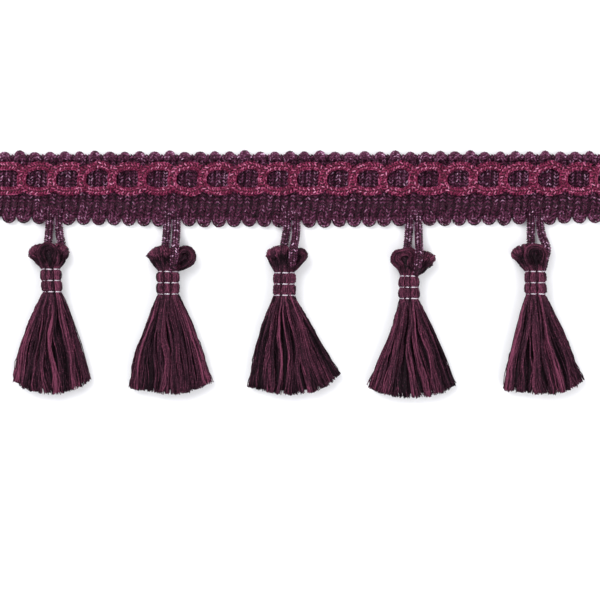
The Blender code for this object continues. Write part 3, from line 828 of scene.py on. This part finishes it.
def make_core(shape, row):
    """The middle of the skirt, neck and head, under the yarns, dark as painted shade where it shows between
    them.
    """
    parts = np.linspace(0.965, 0.05, 9)
    shares = np.linspace(0.06, 0.94, SKIRT_CORES)
    routes = []
    for share in shares:
        hem_x, hem_y = hem_point(row, share)
        core = SimpleNamespace(across=share, hem_x=hem_x, hem_y=hem_y, depth=0.0, calm=0.0, lift=0.0)
        routes.append([skirt_point(row, core, part, 1) for part in parts])
    routes = np.array(routes)
    routes[..., 2] = between(NECK_Z, 2.3, smooth(parts * 3))
    wide = 0.7 * (routes[-1, :, 0] - routes[0, :, 0]) / (SKIRT_CORES - 1) + 0.1
    round_off = np.sqrt(1 - (2 * shares - 1) ** 2)[:, None]
    # Low tones: painted shade where the core shows between the yarns.
    shape.tubes(routes, wide, round_off * between(1.5, 1.8, parts), 8, np.full(SKIRT_CORES, -0.1))
    neck = np.array((row.neck_x, row.neck_y))
    wide = (row.neck_half - 0.5) * 0.92
    sections = [(0.0, -down * BINDING_PITCH, NECK_Z, wide, 1.7) for down in (1.5, 0.5, 0.0)]
    outlines = np.concatenate([petal.outline for petal in row.petals])
    left, right = outlines[:, 0].min(), outlines[:, 0].max()
    for rise, share in ((2.2, 0.45), (4.2, 0.58), (5.6, 0.55), (6.6, 0.35)):
        wide = share * (right - left) / 2
        sections.append(((left + right) / 2 * min(1, rise / 5), rise, 3.0, wide, 1.3))
    sections = np.array(sections)
    route = sections[:, :3] + (*neck, 0.0)
    shape.tubes(route[None], sections[:, 3], sections[:, 4], 12, [-0.1])
    for petal in row.petals:
        if petal.kind == "fan":
            route = at_height(petal.outline * 0.8 + neck, 2.6 + petal.out)
            shape.tubes(route[None], 1.1, 1.2, 10, [-0.05])
        else:
            tip = petal.outline[np.argmax(np.linalg.norm(petal.outline, axis=1))]
            route = np.array([petal.middle * 0.5, petal.middle, between(petal.middle, tip, 0.5)])
            route = at_height(route + neck, 2.9 + petal.out)
            shape.tubes(route[None], [[0.8, 1.3, 0.7]], [[0.8, 1.0, 0.8]], 8, [0.12])


def spin_yarn(row, index, rng):
    """Where one yarn runs, and its tone."""
    front = index < FRONT_YARNS
    share = (index + 0.5) / FRONT_YARNS if front else (index - FRONT_YARNS + 0.5) / INNER_YARNS
    share = between(share, 0.5 + 0.5 * sin(pi * (share - 0.5)), 0.5)  # closer at the sides
    across = np.clip(share + rng.normal(0, 0.008), 0.02, 0.98)
    hem_x, hem_y = hem_point(row, np.clip(across + rng.normal(0, 0.01), 0.01, 0.99))
    # A third of the front yarns lie higher and narrower, with a painted highlight on them.
    highlit = front and rng.uniform() < 0.32
    yarn = SimpleNamespace(across=across, depth=0.0 if front else 0.8, hem_x=hem_x)
    yarn.hem_y = hem_y + rng.normal(0, 0.18)
    yarn.calm = 1 - 0.75 * abs(2 * across - 1) ** 2
    yarn.lift = rng.uniform(-0.55, 0.25) * front + 0.35 * highlit
    yarn.full = rng.uniform(0.3, 0.55) if highlit else 1.0
    return yarn_keys(row, yarn, rng), np.clip(rng.normal(0.2, 0.11), 0.02, 0.45) + 0.1 * highlit


def make_tassel(number, row, material):
    rng = np.random.default_rng(RANDOM_START + 10 + number)
    row.sways, row.locks = random_field(SWAYS, rng), random_field(LOCKS, rng)
    yarns = [spin_yarn(row, index, rng) for index in range(YARNS)]
    tones = np.array([tone for _, tone in yarns])[:, None, None]
    keys = smooth_route([keys for keys, _ in yarns], FOLD_STEPS)
    middles, side_ref = keys[..., :3], keys[..., 3:6]
    width = smooth_route(np.array(BUNDLE_WIDTHS)[:, None], FOLD_STEPS)[:, 0]
    ahead = unit(np.gradient(middles, axis=1))
    side = unit(side_ref - ahead * np.sum(side_ref * ahead, axis=2, keepdims=True))
    up = np.cross(side, ahead)
    shape = Shape()
    make_core(shape, row)
    twists = rng.choice([-1, 1], (YARNS, 1, 1)) * np.linspace(0, 6.0, keys.shape[1])
    for first, last, count, crimp, strays in FILAMENT_RUNS:
        part = slice(first * FOLD_STEPS, last * FOLD_STEPS + 1)
        each = (YARNS, count, 1)
        places = np.arange(part.stop - part.start)
        angle = rng.uniform(0, 2 * pi, each) + twists[:, :, part]
        stray = 1 + 0.35 * (rng.uniform(0, 1, each) < strays)
        far = np.sqrt(rng.uniform(0.02, 1, each)) * width[part] * stray
        wander = 0.26 * width[part] * np.sin(places * rng.uniform(0.6, 1.5, each) + rng.uniform(0, 6.3, each))
        splay, shade = keys[:, None, part, 6], keys[:, None, part, 7]
        sideways = (far * np.cos(angle) + wander) * splay
        sideways += rng.normal(0, crimp, (YARNS, count, len(places)))
        upward = far * np.sin(angle) * 0.85 / splay
        strands = middles[:, None, part] + sideways[..., None] * side[:, None, part]
        strands += upward[..., None] * up[:, None, part]
        if first == 0:
            strands[:, :, 0, 1] += rng.uniform(-0.4, 0.5, each[:2])
        if last == len(BUNDLE_WIDTHS) - 1:
            strands[:, :, -1, 1] += rng.uniform(-0.4, 0.5, each[:2])
        strands[..., 2] = np.maximum(strands[..., 2], FILAMENT_R)
        patches = np.sin(places * rng.uniform(0.3, 1.3, each) + rng.uniform(0, 6.3, each))
        tone = tones + rng.normal(0, 0.12, each) + shade
        # Random patches along each filament; painted light on the filaments on top of a yarn, painted shade
        # under it.
        tone += 0.14 * patches + 0.14 * np.sin(angle) * far / width[part]
        flat = (YARNS * count, len(places), 3)
        refs = np.broadcast_to(side_ref[:, None, part], strands.shape).reshape(flat)
        shape.tubes(strands.reshape(flat), FILAMENT_R, FILAMENT_R, 3, tone.reshape(flat[:2]), refs)
    piece = shape.piece(f"tassel_yarn_{number}", material)
    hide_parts(f"tassel_{number}")
    return piece


def make_binding(number, index, row, material):
    """Two plies of thread twisted together, once round the neck."""
    steps = 60
    angle = np.linspace(0, 2 * pi, steps)
    middle_x = row.neck_x + row.lean * index / (BINDINGS - 1)
    y = row.neck_y - index * BINDING_PITCH
    half, tall = row.neck_half * NECK_WAIST + 0.1, NECK_THICK / 2 * NECK_WAIST + 0.12
    outward = np.column_stack([np.cos(angle), np.zeros(steps), np.sin(angle)])
    cosine, _, sine = outward.T
    bulge = np.array([neck_bulge(row, share) for share in 0.5 + 0.5 * cosine])
    dip = np.minimum(1.5, 2.4 * (1 - bulge) ** 2) * np.abs(sine)
    ring = np.column_stack([middle_x + half * cosine, np.full(steps, y), NECK_Z + (tall - dip) * sine])
    _, across, out = frames(ring, outward)
    shape = Shape()
    for ply in (0, 1):
        turn = PLY_TURNS * angle + ply * pi
        route = ring + PLY_OUT * (across * np.cos(turn)[:, None] + out * np.sin(turn)[:, None])
        shape.tubes(route[None], PLY_R, PLY_R, 5, [0.5], outward)
    piece = shape.piece(f"binding_thread_{number}_{index + 1}", material)
    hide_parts(f"binding_{number}_{index + 1}")
    return piece


# Materials


def node(tree, kind, sources, operation=None):
    """A shader node. sources: for each of its sockets, a number or another node's socket."""
    made = tree.nodes.new("ShaderNode" + kind)
    if operation:
        made.operation = operation
    for socket, source in sources.items():
        if isinstance(source, bpy.types.NodeSocket):
            tree.links.new(source, made.inputs[socket])
        else:
            made.inputs[socket].default_value = source
    return made


def colour_ramp(tree, source, stops):
    """stops: (place, linear colour)."""
    made = node(tree, "ValToRGB", {"Fac": source})
    elements = made.color_ramp.elements
    while len(elements) < len(stops):
        elements.new(0.5)
    for element, (place, colour) in zip(elements, stops):
        element.position = place
        element.color = (*colour, 1.0)
    return made.outputs["Color"]


def yarn_surface():
    """Tone of each strand with its fibres' streaks and its painted glints as bright specks, and the fibres'
    height.
    """
    group = bpy.data.node_groups.new("yarn_surface", "ShaderNodeTree")
    for name in SURFACE_VALUES:
        group.interface.new_socket(name, in_out="INPUT", socket_type="NodeSocketFloat")
    for name in ("Tone", "Height"):
        group.interface.new_socket(name, in_out="OUTPUT", socket_type="NodeSocketFloat")
    enter = group.nodes.new("NodeGroupInput").outputs
    leave = group.nodes.new("NodeGroupOutput").inputs
    tone = node(group, "Attribute", {})
    tone.attribute_name = "tone"
    lay = node(group, "Attribute", {})
    lay.attribute_name = "lay"
    lay = lay.outputs["Vector"]
    drawn = node(group, "CombineXYZ", {"X": 1.0, "Y": enter["Fibre Draw"], "Z": 1.0})
    stretch = node(group, "VectorMath", {0: lay, 1: drawn.outputs[0]}, "MULTIPLY")
    fibres = {"Vector": stretch.outputs[0], "Scale": enter["Fibre Scale"], "Detail": 3.0}
    fibres = node(group, "TexNoise", fibres).outputs[0]
    centred = node(group, "Math", {0: fibres, 1: 0.5}, "SUBTRACT")
    weighted = node(group, "Math", {0: centred.outputs[0], 1: enter["Streaks"]}, "MULTIPLY")
    # Painted glints: bright specks added to the tone.
    grain = node(group, "TexNoise", {"Vector": lay, "Scale": enter["Glint Scale"], "Detail": 1.0})
    glints = node(group, "MapRange", {"Value": grain.outputs[0], "From Min": 0.5, "From Max": 0.75})
    lit = node(group, "Math", {0: glints.outputs[0], 1: enter["Painted Glints"]}, "MULTIPLY")
    streaked = node(group, "Math", {0: weighted.outputs[0], 1: tone.outputs["Fac"]}, "ADD")
    total = node(group, "Math", {0: streaked.outputs[0], 1: lit.outputs[0]}, "ADD")
    group.links.new(total.outputs[0], leave["Tone"])
    group.links.new(fibres, leave["Height"])
    return group


def yarn_material(name, look, surface):
    material = bpy.data.materials.new(name)
    material.use_nodes = True
    tree = material.node_tree
    shader = tree.nodes["Principled BSDF"].inputs
    shader["Roughness"].default_value = look["roughness"]
    shader["Specular IOR Level"].default_value = look["gloss"]
    shader["Metallic"].default_value = look.get("metallic", 0.0)
    yarn = tree.nodes.new("ShaderNodeGroup")
    yarn.node_tree = surface
    for value_name, value in zip(SURFACE_VALUES, look["surface"]):
        yarn.inputs[value_name].default_value = value
    stops = [(place, srgb(*colour)) for place, colour in look["ramp"]]
    relief = {"Strength": look["bump"], "Distance": 0.08 * MM, "Height": yarn.outputs["Height"]}
    tree.links.new(colour_ramp(tree, yarn.outputs["Tone"], stops), shader["Base Color"])
    tree.links.new(node(tree, "Bump", relief).outputs["Normal"], shader["Normal"])
    return material


def srgb(*channels):
    """Linear colour from 0 to 255 values."""
    return tuple((c / 255 / 12.92 if c <= 10 else ((c / 255 + 0.055) / 1.055) ** 2.4) for c in channels)


# Room


def make_room():
    material = bpy.data.materials.new("white surface")
    material.use_nodes = True
    shader = material.node_tree.nodes["Principled BSDF"]
    shader.inputs["Base Color"].default_value = (0.985, 0.985, 0.99, 1.0)
    shader.inputs["Roughness"].default_value = 0.9
    bpy.ops.mesh.primitive_plane_add(size=6.0, location=(0, 0, -0.02 * MM))
    floor = bpy.context.object
    floor.name = "floor"
    floor.data.materials.append(material)
    world = bpy.data.worlds.new("studio")
    world.use_nodes = True
    tree = world.node_tree
    sky = tree.nodes["Background"].inputs
    sky["Strength"].default_value = 1.0
    direction = node(tree, "TexCoord", {})
    upward = node(tree, "SeparateXYZ", {0: direction.outputs["Generated"]})
    stops = ((0.35, (0.6, 0.6, 0.62)), (0.85, (0.8, 0.81, 0.85)))
    tree.links.new(colour_ramp(tree, upward.outputs["Z"], stops), sky["Color"])
    bpy.context.scene.world = world
    lights = ("key", (-0.5, 0.5, 0.75), 0.8, 8.0), ("fill", (0.6, -0.5, 0.6), 0.6, 4.5)
    for name, place, size, power in lights:
        light = bpy.data.lights.new(name, "AREA")
        light.size = size
        light.energy = power
        lamp = put_in_scene(name, light)
        lamp.location = place
        lamp.rotation_euler = (-Vector(place)).to_track_quat("-Z", "Y").to_euler()


def make_camera():
    """Straight above. The view is this wide at the trim's mid-height."""
    view_wide = 186.0 * MM
    far = 0.95
    mid_height = 2.5 * MM
    camera = bpy.data.cameras.new("camera")
    camera.sensor_width = 36.0
    camera.lens = camera.sensor_width * (far - mid_height) / view_wide
    holder = put_in_scene("camera", camera)
    holder.location = (0.0, -34.6 * MM, far)
    bpy.context.scene.camera = holder


def main():
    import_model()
    bpy.context.scene.view_settings.view_transform = "Standard"
    make_camera()
    make_room()
    surface = yarn_surface()
    aubergine, burgundy, floss, silver = (yarn_material(*look, surface) for look in LOOKS.items())
    base = make_base(aubergine)
    face, back = make_weft(aubergine)
    picots, scallops = make_edges(aubergine)
    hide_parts("heading")
    for piece in (base, face, back, picots, scallops):
        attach(piece, "root")
    rng = np.random.default_rng(RANDOM_START + 1)
    for number in (1, 2):
        piece = make_face_cord(number, rng, burgundy)
        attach(piece, "root")
    rows = tassel_rows()
    rng = np.random.default_rng(RANDOM_START + 2)
    for number, row in enumerate(rows, 1):
        piece = make_hanger(number, row, rng, aubergine)
        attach(piece, "root")
    for number, row in enumerate(rows, 1):
        piece = make_tassel(number, row, floss)
        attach(piece, "root")
        for index in range(BINDINGS):
            thread = make_binding(number, index, row, silver)
            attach(thread, "root")


main()
